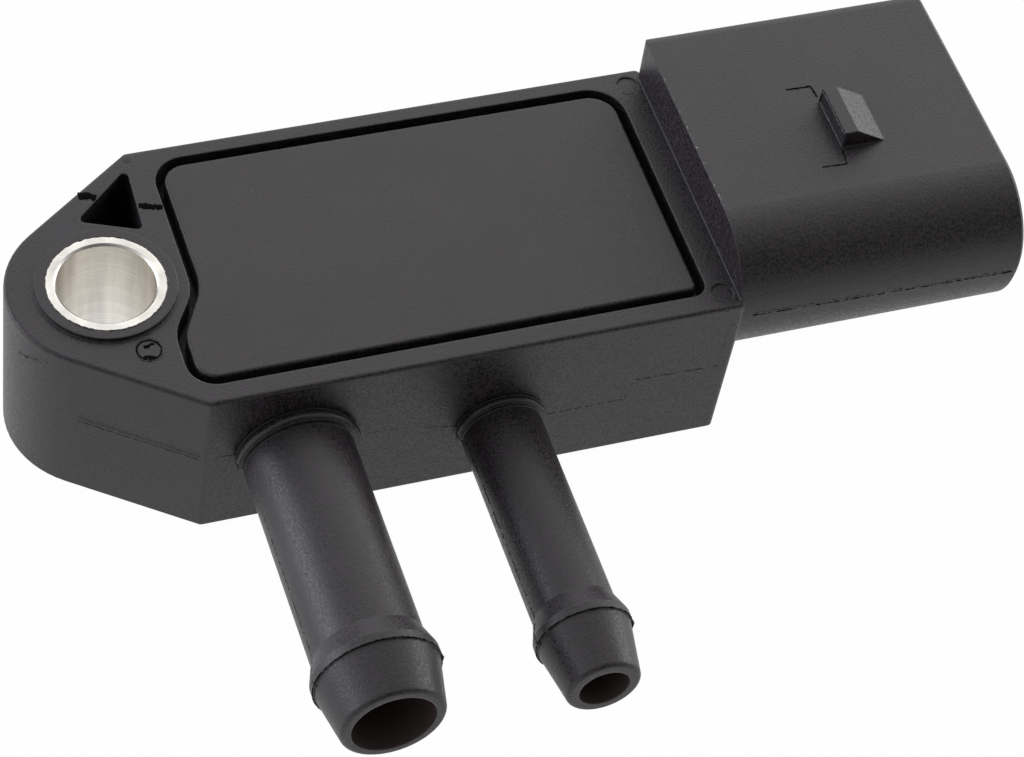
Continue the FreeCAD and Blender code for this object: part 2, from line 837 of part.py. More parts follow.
def make_die():
    """The silicon die, etched from behind to a thin square membrane."""
    body = new_body("pressure_die")
    bind(body, "Placement.Base.x", die_x)
    bind(body, "Placement.Base.y", die_y)
    bind(body, "Placement.Base.z", die_bottom)
    half = size("die_side") / 2
    sketch = sketch_on(body, "XY_Plane", "die_outline")
    rounded_outline(sketch, rectangle(-half, -half, half, half))
    pad(body, sketch, "die_pad", size("die_thickness"))
    mouth = sketch_on(body, "XY_Plane", "etch_mouth")
    wide = size("etch_side") / 2
    rounded_outline(mouth, rectangle(-wide, -wide, wide, wide))
    roof = sketch_on(body, "XY_Plane", "etch_roof",
                     size("die_thickness") - size("membrane_thickness"))
    small = size("membrane_side") / 2
    rounded_outline(roof, rectangle(-small, -small, small, small))
    loft = body.newObject("PartDesign::SubtractiveLoft", "etched_cavity")
    loft.Profile = mouth
    loft.Sections = [roof]
    doc.recompute()
    return body


def make_block(name, x_low, y_low, z_low, length, width, height):
    """A plain box with its low corner placed from the sheet."""
    block = doc.addObject("Part::Box", name)
    block.Label = name
    for path, value in (("Length", length), ("Width", width), ("Height", height),
                        ("Placement.Base.x", x_low), ("Placement.Base.y", y_low),
                        ("Placement.Base.z", z_low)):
        bind(block, path, value)
    return block


def make_chip():
    width = size("chip_width")
    return make_block("signal_chip", chip_left, die_y - width / 2, plate_top,
                      size("chip_length"), width, size("chip_thickness"))


def make_capacitor(number):
    """A chip capacitor with softened edges, one of a row on the plate."""
    body = new_body("chip_capacitor_%d" % number)
    bind(body, "Placement.Base.x", plate_left + size("capacitor_pitch") * number)
    bind(body, "Placement.Base.y", size("plate_width") / 2 - size("capacitor_length"))
    bind(body, "Placement.Base.z", plate_top)
    half, reach = size("capacitor_width") / 2, size("capacitor_length") / 2
    sketch = sketch_on(body, "XY_Plane", "capacitor_outline_%d" % number)
    rounded_outline(sketch, rectangle(-half, -reach, half, reach))
    block = pad(body, sketch, "capacitor_pad_%d" % number, size("capacitor_height"))
    edges = ["Edge%d" % (index + 1) for index in range(len(block.Shape.Edges))]
    dress(body, "PartDesign::Chamfer", "capacitor_edges_%d" % number, block, edges,
          size("capacitor_edge"))
    return body


def frame_corners(gap, radius):
    """The plan of the gel frame round die and chip, moved inwards by a gap."""
    margin = size("frame_margin") + size("frame_wall")
    half = size("chip_width") / 2
    left = die_x - size("die_side") / 2 - margin + gap
    right = chip_left + size("chip_length") + margin - gap
    return rectangle(left, die_y - half - margin + gap, right, die_y + half + margin - gap, radius)


def make_gel_frame():
    body = new_body("gel_frame")
    bind(body, "Placement.Base.z", plate_top)
    sketch = sketch_on(body, "XY_Plane", "frame_outline")
    wall = size("frame_wall")
    rounded_outline(sketch, frame_corners(ZERO, size("frame_round") + wall))
    rounded_outline(sketch, frame_corners(wall, size("frame_round")))
    pad(body, sketch, "frame_pad", size("frame_height"))
    return body


def arch(sketch, x_from, z_from, x_to, z_to, foot, peak, thick):
    """A flat ribbon bent over from one pad to another, drawn as its side view."""
    lean = (x_to - x_from - foot * 2) / 4
    rounded_outline(sketch, [
        (x_from, z_from, None), (x_from + foot, z_from, None),
        (x_from + foot + lean, peak - thick, None), (x_to - foot - lean, peak - thick, None),
        (x_to - foot, z_to, None), (x_to, z_to, None),
        (x_to, z_to + thick, None), (x_to - foot + thick / 2, z_to + thick, None),
        (x_to - foot - lean + thick / 2, peak, None), (x_from + foot + lean - thick / 2, peak, None),
        (x_from + foot - thick / 2, z_from + thick, None), (x_from, z_from + thick, None),
    ])


def make_die_wire(number):
    """One of four bond wires from the die across to the signal chip."""
    body = new_body("die_wire_%d" % number)
    bind(body, "Placement.Base.y", die_y + size("wire_pitch") * (number - (WIRES + 1) / 2))
    thick, foot = size("wire_thickness"), size("wire_foot")
    sketch = sketch_on(body, "XZ_Plane", "wire_side_%d" % number, -(thick / 2))
    inset = size("wire_inset")
    start = die_x + size("die_side") / 2 - inset - foot
    arch(sketch, start, die_top, chip_left + inset + foot, chip_top, foot,
         die_top + size("wire_loop"), thick)
    pad(body, sketch, "wire_%d" % number, thick)
    return body


def make_terminal_ribbon(name, y):
    """A bond ribbon from the circuit plate to the foot of one terminal."""
    body = new_body("terminal_ribbon_" + name)
    bind(body, "Placement.Base.y", y)
    sketch = sketch_on(body, "XZ_Plane", "ribbon_side_" + name, -(size("ribbon_width") / 2))
    foot, inset = size("ribbon_foot"), size("ribbon_inset")
    seat = chamber_floor + size("terminal_thickness")
    arch(sketch, plate_right - inset - foot, plate_top, terminal_foot + inset + foot, seat, foot,
         seat + size("ribbon_loop"), size("ribbon_thickness"))
    pad(body, sketch, "ribbon_" + name, size("ribbon_width"))
    return body


def make_gel(buried):
    """The soft gel fills the frame round the chip, the wires and the column of pedestal and die."""
    body = new_body("gel_fill")
    bind(body, "Placement.Base.z", plate_top)
    sketch = sketch_on(body, "XY_Plane", "gel_outline")
    rounded_outline(sketch, frame_corners(size("frame_wall"), size("frame_round")))
    pad(body, sketch, "gel_pad", size("gel_height"))
    side = size("die_side")
    column = make_block("die_column", die_x - side / 2, die_y - side / 2, plate_top,
                        side, side, die_top - plate_top)
    inner = doc.addObject("Part::MultiFuse", "buried_pieces")
    inner.Shapes = [column] + buried
    gel = doc.addObject("Part::Cut", "protective_gel")
    gel.Label = "protective_gel"
    gel.Base = body
    gel.Tool = inner
    return gel


def make_all():
    pieces = [make_housing(), make_bolt_bush(), make_cover(), make_cover_adhesive()]
    for name, y in terminal_places():
        pieces.append(make_terminal(name, y))
        pieces.append(make_terminal_ribbon(name, y))
    buried = [make_chip()] + [make_die_wire(number) for number in range(1, WIRES + 1)]
    pieces += [make_substrate(), make_substrate_adhesive(), make_gel_frame()]
    pieces += [make_capacitor(number) for number in range(1, CAPACITORS + 1)]
    pieces += [make_pedestal(), make_die()] + buried + [make_gel(buried)]
    return pieces


def export(pieces):
    doc.recompute()
    for item in doc.Objects:
        if "Invalid" in item.State or "Error" in item.State:
            raise RuntimeError(item.Label + " failed: " + str(item.State))
    for piece in pieces:
        if piece.Shape.isNull() or not piece.Shape.isValid():
            raise RuntimeError(piece.Label + " has no valid shape")
    os.makedirs("parts", exist_ok=True)
    for piece in pieces:
        piece.Shape.exportStep("parts/" + piece.Label + ".step")


export(make_all())
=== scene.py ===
import math
import random

import bmesh
import bpy
from mathutils import Matrix, Vector


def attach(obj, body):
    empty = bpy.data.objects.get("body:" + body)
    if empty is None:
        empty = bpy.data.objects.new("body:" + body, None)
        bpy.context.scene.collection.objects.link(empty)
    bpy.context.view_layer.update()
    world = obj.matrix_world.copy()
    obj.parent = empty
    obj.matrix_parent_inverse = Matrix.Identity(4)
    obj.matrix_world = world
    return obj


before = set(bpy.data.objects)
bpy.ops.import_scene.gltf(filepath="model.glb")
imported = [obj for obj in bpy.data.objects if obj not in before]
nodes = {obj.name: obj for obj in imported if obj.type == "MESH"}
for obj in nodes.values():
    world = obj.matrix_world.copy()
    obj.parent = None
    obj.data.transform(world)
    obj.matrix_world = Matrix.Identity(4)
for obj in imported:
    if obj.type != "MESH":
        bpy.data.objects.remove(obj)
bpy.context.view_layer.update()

MM = 0.001


# Housing
# One black moulding of glass filled polyester: box, bolt lug, two hose nipples and the plug socket.
# The mould leaves a fine eroded grain, a slow flow mottle and pale flecks of glass at the skin.
# Sizes without MM are in millimetres, as in the drawing.

HOUSING_COLOUR = (0.0172, 0.0132, 0.0168, 1.0)
# the pale edge colour is a painted highlight along the moulding's edges
HOUSING_EDGE_HIGHLIGHT_COLOUR = (0.085, 0.083, 0.085, 1.0)
HOUSING_ROUGHNESS = 0.47
LARGE_AXIS = (10.24, 6.74)
SMALL_AXIS = (24.64, 5.07)
BORES = (LARGE_AXIS + (2.83,), SMALL_AXIS + (1.73,))
BORE_MARGIN = 0.05
BORE_BACK = -12.0
# paler colour in the nipples' bores: painted light, as though light fell inside the holes
BORE_PAINTED_LIGHT_COLOUR = (0.085, 0.062, 0.060, 1.0)
HOUSING_EDGE_RADIUS = 0.16 * MM
HOUSING_GRAIN = 0.17 * MM
HOUSING_GRAIN_DEPTH = 0.02 * MM


def new_group(name, inputs, outputs):
    """An empty shader group with float inputs (name, default) and outputs (name, kind)."""
    group = bpy.data.node_groups.new(name, "ShaderNodeTree")
    for label, default in inputs:
        socket = group.interface.new_socket(label, in_out="INPUT", socket_type="NodeSocketFloat")
        socket.default_value = default
    for label, kind in outputs:
        group.interface.new_socket(label, in_out="OUTPUT", socket_type=kind)
    return group, group.nodes.new("NodeGroupInput"), group.nodes.new("NodeGroupOutput")


def feed(tree, source, target):
    """A link, or a plain value where the source isn't a socket."""
    if isinstance(source, bpy.types.NodeSocket):
        tree.links.new(source, target)
    else:
        target.default_value = source


def maths(tree, operation, *sources):
    node = tree.nodes.new("ShaderNodeMath")
    node.operation = operation
    for source, target in zip(sources, node.inputs):
        feed(tree, source, target)
    return node.outputs[0]


def spread(tree, value, low, high, to_low=0.0, to_high=1.0):
    """Maps a value from one range to another, held inside the second."""
    node = tree.nodes.new("ShaderNodeMapRange")
    for source, target in zip((value, low, high, to_low, to_high), node.inputs):
        feed(tree, source, target)
    return node.outputs[0]


def blend_colours(tree, amount, first, second):
    node = tree.nodes.new("ShaderNodeMix")
    node.data_type = "RGBA"
    feed(tree, amount, node.inputs["Factor"])
    feed(tree, first, node.inputs["A"])
    feed(tree, second, node.inputs["B"])
    return node.outputs["Result"]


def noise(tree, vector, scale, detail=2.0, roughness=0.5):
    node = tree.nodes.new("ShaderNodeTexNoise")
    feed(tree, vector, node.inputs["Vector"])
    feed(tree, scale, node.inputs["Scale"])
    node.inputs["Detail"].default_value = detail
    node.inputs["Roughness"].default_value = roughness
    return node.outputs["Fac"]


def object_place(tree):
    return tree.nodes.new("ShaderNodeTexCoord").outputs["Object"]


def make_edge_group():
    """Finds the edges of a piece: a mask that is 1 on them, and a normal that rounds them."""
    tree, given, result = new_group(
        "moulded_edges", [("Radius", 0.0002), ("Spread", 0.3)],
        [("Edge", "NodeSocketFloat"), ("Normal", "NodeSocketVector")])
    bevel = tree.nodes.new("ShaderNodeBevel")
    bevel.samples = 6
    feed(tree, given.outputs["Radius"], bevel.inputs["Radius"])
    facing = tree.nodes.new("ShaderNodeVectorMath")
    facing.operation = "DOT_PRODUCT"
    feed(tree, bevel.outputs["Normal"], facing.inputs[0])
    feed(tree, tree.nodes.new("ShaderNodeNewGeometry").outputs["Normal"], facing.inputs[1])
    bend = maths(tree, "SUBTRACT", 1.0, facing.outputs["Value"])
    feed(tree, spread(tree, bend, 0.01, given.outputs["Spread"]), result.inputs["Edge"])
    feed(tree, bevel.outputs["Normal"], result.inputs["Normal"])
    return tree


def make_skin_group():
    """The skin of a filled moulding: grain height, slow mottle and small bright flecks."""
    tree, given, result = new_group(
        "moulding_skin", [("Grain", 0.0002), ("Mottle", 0.004), ("Fleck Spacing", 0.0011)],
        [("Height", "NodeSocketFloat"), ("Mottle", "NodeSocketFloat"),
         ("Fleck", "NodeSocketFloat")])
    place = object_place(tree)
    grain = maths(tree, "DIVIDE", 1.0, given.outputs["Grain"])
    fine = noise(tree, place, grain, detail=1.0, roughness=0.6)
    slow = noise(tree, place, maths(tree, "DIVIDE", 1.0, given.outputs["Mottle"]), detail=4.0)
    cells = tree.nodes.new("ShaderNodeTexVoronoi")
    feed(tree, place, cells.inputs["Vector"])
    feed(tree, maths(tree, "DIVIDE", 1.0, given.outputs["Fleck Spacing"]), cells.inputs["Scale"])
    near_centre = spread(tree, cells.outputs["Distance"], 0.03, 0.075, 1.0, 0.0)
    chosen = maths(tree, "GREATER_THAN", cells.outputs["Color"], 0.55)
    feed(tree, fine, result.inputs["Height"])
    feed(tree, slow, result.inputs["Mottle"])
    feed(tree, maths(tree, "MULTIPLY", near_centre, chosen), result.inputs["Fleck"])
    return tree


EDGES = make_edge_group()
SKIN = make_skin_group()


def place_group(tree, group, **values):
    node = tree.nodes.new("ShaderNodeGroup")
    node.node_tree = group
    for label, value in values.items():
        feed(tree, value, node.inputs[label.replace("_", " ")])
    return node.outputs


def new_material(name):
    material = bpy.data.materials.new(name)
    material.use_nodes = True
    tree = material.node_tree
    return material, tree, tree.nodes["Principled BSDF"]


def bump(tree, height, distance, strength, normal=None):
    node = tree.nodes.new("ShaderNodeBump")
    node.inputs["Distance"].default_value = distance
    node.inputs["Strength"].default_value = strength
    feed(tree, height, node.inputs["Height"])
    if normal is not None:
        feed(tree, normal, node.inputs["Normal"])
    return node.outputs["Normal"]


def inside_bores(tree):
    """A mask that is 1 in the holes of the nipples, where a paler colour is painted as the light
    inside the bores.
    """
    parts = tree.nodes.new("ShaderNodeSeparateXYZ")
    feed(tree, object_place(tree), parts.inputs[0])
    mask = 0.0
    for x, z, radius in BORES:
        across = maths(tree, "SUBTRACT", parts.outputs["X"], x * MM)
        upward = maths(tree, "SUBTRACT", parts.outputs["Z"], z * MM)
        reach = maths(tree, "SQRT", maths(
            tree, "ADD", maths(tree, "MULTIPLY", across, across),
            maths(tree, "MULTIPLY", upward, upward)))
        inside = maths(tree, "LESS_THAN", reach, (radius + BORE_MARGIN) * MM)
        mask = maths(tree, "MAXIMUM", mask, inside)
    in_front = maths(tree, "LESS_THAN", parts.outputs["Y"], BORE_BACK * MM)
    return maths(tree, "MULTIPLY", mask, in_front)


def moulded_plastic(name, colour, edge_highlight_colour, roughness, edge_radius, grain, depth):
    """Black filled plastic straight from the mould, with flecks, a painted highlight along its
    edges and painted light in the nipples' bores.
    """
    material, tree, shader = new_material(name)
    edge = place_group(tree, EDGES, Radius=edge_radius, Spread=0.35)
    skin = place_group(tree, SKIN, Grain=grain, Mottle=5 * MM, Fleck_Spacing=0.75 * MM)
    slow = spread(tree, skin["Mottle"], 0.3, 0.7, 0.85, 1.15)
    tone = maths(tree, "MULTIPLY", slow, spread(tree, skin["Height"], 0.36, 0.66, 0.35, 2.1))
    bright = tree.nodes.new("ShaderNodeVectorMath")
    bright.operation = "SCALE"
    bright.inputs[0].default_value = colour[:3]
    feed(tree, tone, bright.inputs["Scale"])
    speckled = blend_colours(tree, maths(tree, "MULTIPLY", skin["Fleck"], 0.5),
                             bright.outputs["Vector"], (0.16, 0.16, 0.16, 1.0))
    # paler colour on the edges: a painted highlight
    highlighted_edges = blend_colours(tree, maths(tree, "MULTIPLY", edge["Edge"], 0.6), speckled, edge_highlight_colour)
    # the bores take the paler colour: painted light inside the holes
    feed(tree, blend_colours(tree, inside_bores(tree), highlighted_edges, BORE_PAINTED_LIGHT_COLOUR),
         shader.inputs["Base Color"])
    matt = spread(tree, skin["Height"], 0.3, 0.7, roughness - 0.12, roughness + 0.12)
    feed(tree, matt, shader.inputs["Roughness"])
    feed(tree, bump(tree, skin["Height"], depth, 1.0, edge["Normal"]), shader.inputs["Normal"])
    return material


def dress(node_name, material):
    node = nodes[node_name]
    node.data.materials.clear()
    node.data.materials.append(material)


dress("housing", moulded_plastic(
    "black_moulding", HOUSING_COLOUR, HOUSING_EDGE_HIGHLIGHT_COLOUR, HOUSING_ROUGHNESS,
    HOUSING_EDGE_RADIUS, HOUSING_GRAIN, HOUSING_GRAIN_DEPTH))


# Flash and marks of the mould
# Where the halves, slides and inserts of the mould meet, thin plastic flash stands along the skin.
# Two streams of plastic meet in a dark knit mark each side of the three-cornered pocket.
# Each nipple's collar is softly rounded over its top.

FLASH_WIDTH = 0.13
FLASH_HEIGHT = 0.05
FLASH_STEP = 0.16
UP = (0, 0, 1)
FORWARD = (0, -1, 0)
chance = random.Random(11)


def along(points, step):
    """Points (mm) at even steps along a broken line, with the direction at each."""
    result = []
    for first, last in zip(points, points[1:]):
        first, last = Vector(first), Vector(last)
        count = max(1, round((last - first).length / step))
        way = (last - first).normalized()
        result += [(first.lerp(last, i / count), way) for i in range(count)]
    return result + [(Vector(points[-1]), way)]


def flash(name, points, normal, width=FLASH_WIDTH, height=FLASH_HEIGHT, ragged=0.5,
          closed=False, material=None, gaps=0.0):
    """A thin ragged ridge on the skin: its root lies just under the surface along the points."""
    mesh = bmesh.new()
    rows = []
    stations = along(points, FLASH_STEP)
    for i, (point, way) in enumerate(stations):
        out = Vector(normal(point) if callable(normal) else normal).normalized()
        side = way.cross(out).normalized()
        lift = height * (1.0 + ragged * chance.uniform(-1.0, 1.0))
        half = width / 2 * (1.0 + 0.5 * ragged * chance.uniform(-1.0, 1.0))
        if chance.random() < gaps or (not closed and i in (0, len(stations) - 1)):
            lift = 0.0
        shift = side * (0.25 * ragged * width * chance.uniform(-1.0, 1.0))
        root = point + shift
        profile = [(-half, -0.03), (-0.45 * half, 0.8 * lift - 0.005), (0.1 * half, lift - 0.005),
                   (0.55 * half, 0.6 * lift - 0.005), (half, -0.03)]
        rows.append([mesh.verts.new((root + side * a + out * b) * MM) for a, b in profile])
    for row, following in zip(rows, rows[1:]):
        for j in range(len(row) - 1):
            mesh.faces.new((row[j], row[j + 1], following[j + 1], following[j]))
        mesh.faces.new((row[-1], row[0], following[0], following[-1]))
    if not closed:
        mesh.faces.new(rows[0][::-1])
        mesh.faces.new(rows[-1])
    bmesh.ops.recalc_face_normals(mesh, faces=mesh.faces)
    data = bpy.data.meshes.new(name)
    mesh.to_mesh(data)
    mesh.free()
    for face in data.polygons:
        face.use_smooth = True
    data.materials.append(material or flash_plastic)
    piece = bpy.data.objects.new(name, data)
    bpy.context.scene.collection.objects.link(piece)
    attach(piece, "root")
    return piece


def ring(x, y, z, radius, sides=40):
    turns = [2 * math.pi * i / sides for i in range(sides + 1)]
    return [(x + radius * math.cos(t), y + radius * math.sin(t), z) for t in turns]


# each moulded material's second colour is the painted highlight along its edges
flash_plastic = moulded_plastic("flash_plastic", (0.020, 0.0195, 0.020, 1.0),
                                (0.11, 0.11, 0.112, 1.0), 0.42, 0.04 * MM, 0.15 * MM, 0.01 * MM)
knit_plastic = moulded_plastic("knit_plastic", (0.004, 0.004, 0.0042, 1.0),
                               (0.006, 0.006, 0.006, 1.0), 0.8, 0.03 * MM, 0.15 * MM, 0.02 * MM)
# a knit mark is a crack that holds the light, so it throws back less than the skin
knit_plastic.node_tree.nodes["Principled BSDF"].inputs["Specular IOR Level"].default_value = 0.03
# a pale material for thin ridges that paint a highlight along edges
edge_highlight_plastic = moulded_plastic("painted_edge_highlight", (0.12, 0.12, 0.12, 1.0),
                               (0.2, 0.2, 0.2, 1.0), 0.5, 0.03 * MM, 0.12 * MM, 0.01 * MM)

BODY_TOP = 13.3
SOCKET_TOP = 17.0
SOCKET_BOTTOM = 4.7
SOCKET_HALF_WIDTH = 10.95
SOCKET_UPPER_RADIUS = 5.25
SOCKET_LOWER_RADIUS = 6.8
SOCKET_UPPER_MIDDLE = SOCKET_TOP - SOCKET_UPPER_RADIUS
SOCKET_LOWER_MIDDLE = SOCKET_BOTTOM + SOCKET_LOWER_RADIUS
FRONT = -11.1
DATE_RING = (1.38, -5.86, BODY_TOP)
flash("knit_mark_left", [(0.05, 7.95, BODY_TOP), (0.73, 7.84, BODY_TOP),
                         (1.24, 7.55, BODY_TOP)], UP, 0.80, 0.05, 0.35, material=knit_plastic)
flash("knit_mark_right", [(3.76, 6.28, BODY_TOP), (4.53, 6.05, BODY_TOP),
                          (5.38, 5.80, BODY_TOP)], UP, 0.66, 0.05, 0.45, material=knit_plastic)
flash("knit_branch_right", [(4.58, 5.96, BODY_TOP), (4.87, 5.76, BODY_TOP)],
      UP, 0.50, 0.045, 0.6, material=knit_plastic)
flash("date_ring_outer", ring(*DATE_RING, 0.80), UP, 0.16, 0.05, 0.5, closed=True,
      material=knit_plastic)
flash("date_ring_lip", ring(*DATE_RING, 0.94), UP, 0.08, 0.04, 0.7, closed=True)
flash("date_bar_upper", [(1.08, -5.64, BODY_TOP), (1.86, -5.38, BODY_TOP)],
      UP, 0.34, 0.045, 0.5, material=knit_plastic)
flash("date_bar_lower", [(0.85, -6.35, BODY_TOP), (1.71, -6.55, BODY_TOP)],
      UP, 0.36, 0.045, 0.4, material=knit_plastic)
flash("lug_scratch", [(-0.35, -5.75, BODY_TOP), (-0.15, -6.05, BODY_TOP)], UP, 0.12, 0.05, 0.6)

# the insert that forms the nub leaves its outline on the socket's top
flash("insert_line_back", [(49.16, 3.79, SOCKET_TOP), (50.99, 3.74, SOCKET_TOP),
                           (51.10, 2.62, SOCKET_TOP)], UP, 0.22, 0.045, 0.5, material=knit_plastic)
flash("insert_line_front", [(49.03, -3.50, SOCKET_TOP), (50.84, -3.61, SOCKET_TOP),
                            (51.04, -2.30, SOCKET_TOP)], UP, 0.16, 0.04, 0.7,
      material=knit_plastic, gaps=0.2)
flash("insert_line_between", [(49.10, 3.70, SOCKET_TOP), (49.05, -3.45, SOCKET_TOP)],
      UP, 0.08, 0.018, 0.9, gaps=0.45)
NUB_LEFT = 51.10
flash("nub_flash", [(NUB_LEFT, 2.15, SOCKET_TOP + 1.20), (NUB_LEFT, -2.05, SOCKET_TOP + 1.20)],
      (-0.8, 0, 0.6), 0.20, 0.10, 0.9)
flash("nub_back_flash", [(NUB_LEFT, 2.2, SOCKET_TOP + 1.3), (NUB_LEFT - 0.02, 2.24, SOCKET_TOP)],
      (-0.8, 0.6, 0), 0.14, 0.06, 0.8)
flash("nub_root_flash", [(NUB_LEFT, 2.2, SOCKET_TOP), (NUB_LEFT - 0.02, -2.15, SOCKET_TOP)],
      (-0.5, 0, 0.86), 0.16, 0.04, 0.8, gaps=0.2)


# the mould's halves part along the socket's sides, and the slides of the front along its face
def socket_side(z):
    """Y of the socket's round front side at a height."""
    upper = z > SOCKET_UPPER_MIDDLE
    radius = SOCKET_UPPER_RADIUS if upper else SOCKET_LOWER_RADIUS
    middle = SOCKET_UPPER_MIDDLE if upper else SOCKET_LOWER_MIDDLE
    reach = abs(z - middle)
    return -(SOCKET_HALF_WIDTH - radius + math.sqrt(max(radius ** 2 - reach ** 2, 0.0)))


def socket_out(point):
    upper = point.z > SOCKET_UPPER_MIDDLE
    middle = SOCKET_UPPER_MIDDLE if upper else SOCKET_LOWER_MIDDLE
    return (0, -1, (point.z - middle) / 6.0)


def parting_line(start, lift):
    """Points along the socket's side, falling half a millimetre from its start height."""
    heights = [(x, start - 0.5 * (x - 42) / 19) for x in (42.0, 46.0, 50.0, 54.0, 58.0, 61.6)]
    return [(x, socket_side(z) - lift, z) for x, z in heights]


flash("socket_parting", parting_line(11.8, 0.0), socket_out, 0.12, 0.035, 0.9,
      material=knit_plastic, gaps=0.3)
flash("socket_parting_edge", parting_line(12.0, 0.005), socket_out, 0.07, 0.02, 0.9, gaps=0.3)
flash("front_parting_right", [
    (28.0, FRONT, 5.2), (33.7, FRONT, 5.25), (34.1, FRONT, 7.2), (40.2, FRONT, 7.0),
    (40.45, FRONT, 11.2), (40.75, FRONT, 11.5)], FORWARD, 0.10, 0.03, 0.7, gaps=0.15)
flash("front_parting_left", [(4.7, FRONT, 7.4), (5.9, FRONT, 7.4), (6.5, FRONT, 7.3)],
      FORWARD, 0.10, 0.03, 0.7)
flash("front_parting_middle", [(14.1, FRONT, 7.0), (17.5, FRONT, 6.8), (21.7, FRONT, 5.8)],
      FORWARD, 0.08, 0.025, 0.8, gaps=0.3)
FLANK = (-math.sin(math.radians(35.6)), -math.cos(math.radians(35.6)), 0)
flash("flank_parting", [(-3.4, -6.02, 7.4), (0.4, -8.73, 7.4), (3.55, -10.98, 7.4)],
      FLANK, 0.09, 0.025, 0.8, gaps=0.4)
flash("top_front_line", [(4.4, FRONT + 0.04, 13.02), (24.0, FRONT + 0.04, 13.02),
                         (40.7, FRONT + 0.04, 13.02)], (0, -0.8, 0.6), 0.12, 0.02, 0.9,
      material=knit_plastic, gaps=0.1)


# each nipple is parted along both sides, and its barb's ridge carries a thin dark ring of flash
def nipple_seam(name, x, z, radius, barb, start, angle):
    ray = Vector((math.cos(angle), 0, math.sin(angle)))

    def spot(y, r):
        return (x + r * ray.x, y, z + r * ray.z)
    flash(name, [spot(FRONT - 1.1, radius), spot(FRONT - start, radius),
                 spot(FRONT - start - 1.5, barb), spot(FRONT - start - 2.0, barb)],
          ray, 0.12, 0.035, 0.7, gaps=0.15)
    flash(name + "_tab", [spot(FRONT - start - 1.2, barb - 0.1), spot(FRONT - start - 2.2, barb)],
          ray, 0.30, 0.10, 0.5)


for label, (x, z), radius, barb, start in (("large", LARGE_AXIS, 3.79, 4.33, 16.5),
                                           ("small", SMALL_AXIS, 2.83, 3.35, 15.8)):
    for side, angle in (("left", math.radians(172)), ("right", math.radians(8))):
        nipple_seam("seam_%s_%s" % (label, side), x, z, radius, barb, start, angle)
    y = FRONT - start - 2.08
    turns = [2 * math.pi * i / 64 for i in range(65)]
    reach = barb - 0.02
    flash("barb_ring_" + label, [(x + reach * math.cos(t), y, z + reach * math.sin(t))
                                 for t in turns],
          lambda point, x=x, z=z: (point.x - x, 0, point.z - z), 0.10, 0.03, 0.8, closed=True,
          material=knit_plastic)

# the socket's rear top edge and the body's front right corner carry thin pale ridges: a painted
# highlight along these edges
flash("rear_edge_highlight", [(41.10, 9.9, SOCKET_TOP - 0.04), (41.10, 2.0, SOCKET_TOP - 0.04),
                        (41.10, -5.6, SOCKET_TOP - 0.04)], (-0.7, 0, 0.7), 0.14, 0.03, 0.6,
      material=edge_highlight_plastic)
flash("front_corner_highlight", [(41.02, -11.06, 12.9), (41.1, -11.06, 10.5)], (0.7, -0.7, 0),
      0.12, 0.03, 0.6, material=edge_highlight_plastic)

# a ragged lip stands round the bush, and slight flash hangs on the lug's end
flash("bush_lip", ring(0, 0, 13.6, 4.03, 72), UP, 0.16, 0.035, 0.9, closed=True)
flash("boss_foot", ring(0, 0, BODY_TOP, 4.72, 72), UP, 0.09, 0.02, 0.8, closed=True, gaps=0.2)
LUG_RADIUS = 6.72
LUG_END = [(math.radians(degrees), degrees) for degrees in (222, 214, 206, 198)]
flash("lug_end_flash", [(LUG_RADIUS * math.cos(a), LUG_RADIUS * math.sin(a),
                         11.6 - 0.06 * (215 - d)) for a, d in LUG_END],
      lambda point: (point.x, point.y, 0), 0.18, 0.07, 0.9, gaps=0.3)
for number, (x, y) in enumerate(((40.05, 9.7), (40.05, -9.7))):
    flash("ejector_lip_%d" % (number + 1), ring(x, y, BODY_TOP, 0.82), UP, 0.09, 0.035, 0.9,
          closed=True, gaps=0.3)

# the collar at each nipple's root is softly rounded over its top
for label, (x, z), radius, length in (("large", LARGE_AXIS, 4.2, 0.9),
                                      ("small", SMALL_AXIS, 3.15, 0.65)):
    turns = [math.radians(6 + 168 * i / 48) for i in range(49)]
    flash("collar_round_" + label, [(x + radius * math.cos(t), FRONT - length / 2,
                                     z + radius * math.sin(t)) for t in turns],
          lambda point, x=x, z=z: (point.x - x, 0, point.z - z), 0.96 * length, 0.2 * length, 0.06)


# Bolt bush
# A short aluminium tube, turned and moulded into the lug, so that the bolt clamps metal.

BUSH_COLOUR = (0.83, 0.80, 0.755, 1.0)
# upward faces of the bush are made darker: painted shade on its top
BUSH_TOP_PAINTED_SHADE = 0.71
BUSH_ROUGHNESS = 0.3
TURNING_PITCH = 0.25 * MM


